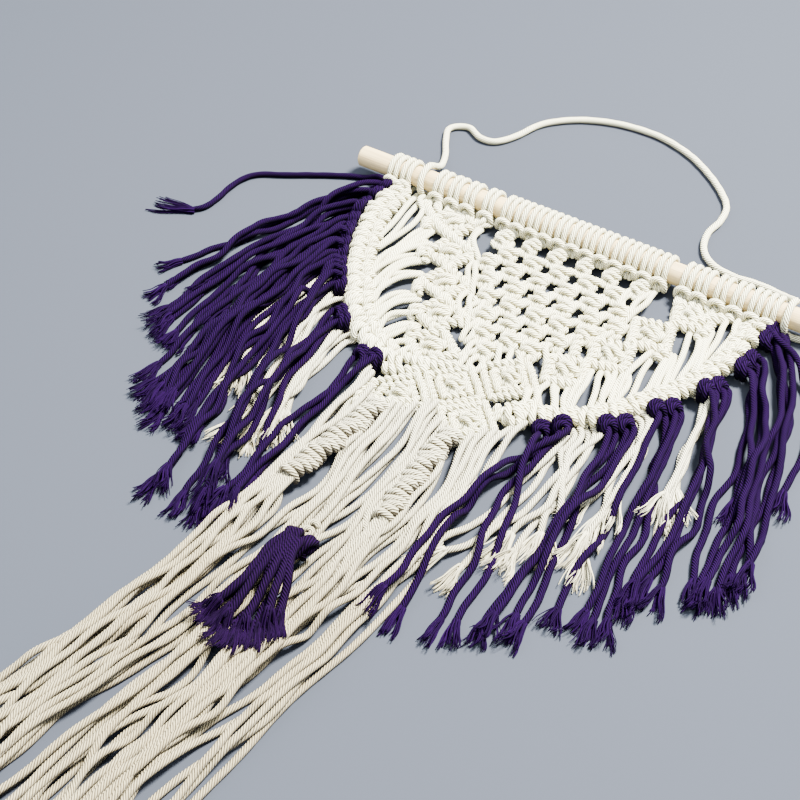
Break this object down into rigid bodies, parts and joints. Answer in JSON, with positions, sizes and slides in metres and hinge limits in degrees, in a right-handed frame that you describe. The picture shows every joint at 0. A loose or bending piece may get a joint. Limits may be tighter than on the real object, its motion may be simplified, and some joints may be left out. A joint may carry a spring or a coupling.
{
  "type": "macrame wall hanging on a wooden dowel",
  "caption": "Knotted cotton net in a V of diamonds on a wooden dowel, with side fringes, a long middle fringe, spiral sennits, a tassel and a cord loop to hang it by.",
  "frame": {"origin": "middle of the base of the piece without its hanging cord, on the surface that it lies on", "axes": "+X along the dowel, +Y up the hanging from the fringe ends to the dowel, +Z out of the face"},
  "size_m": [0.3942, 0.6288, 0.021],
  "materials": {
    "birch_wood": "bare sanded wood, matt, with fine grain along the dowel",
    "natural_cotton": "three-ply twisted cotton cord, matt, cream white",
    "purple_cotton": "three-ply twisted cotton cord dyed deep violet, with a slight sheen and frayed ends"
  },
  "bodies": {
    "root": {"dowel": "birch_wood", "macrame_net": "natural_cotton", "purple_fringe_left_1": "purple_cotton", "purple_fringe_left_2": "purple_cotton", "purple_fringe_left_3": "purple_cotton", "purple_fringe_left_4": "purple_cotton", "purple_fringe_left_5": "purple_cotton", "purple_fringe_left_6": "purple_cotton", "purple_fringe_left_7": "purple_cotton", "purple_fringe_left_8": "purple_cotton", "natural_fringe_left_1": "natural_cotton", "natural_fringe_left_2": "natural_cotton", "natural_fringe_left_3": "natural_cotton", "purple_fringe_right_1": "purple_cotton", "purple_fringe_right_2": "purple_cotton", "purple_fringe_right_3": "purple_cotton", "purple_fringe_right_4": "purple_cotton", "purple_fringe_right_5": "purple_cotton", "purple_fringe_right_6": "purple_cotton", "natural_fringe_right_1": "natural_cotton", "natural_fringe_right_2": "natural_cotton", "natural_fringe_right_3": "natural_cotton", "long_fringe": "natural_cotton", "spiral_sennit_left": "natural_cotton", "spiral_sennit_right": "natural_cotton", "tassel": "purple_cotton", "hanging_cord": "natural_cotton"}
  },
  "joints": []
}
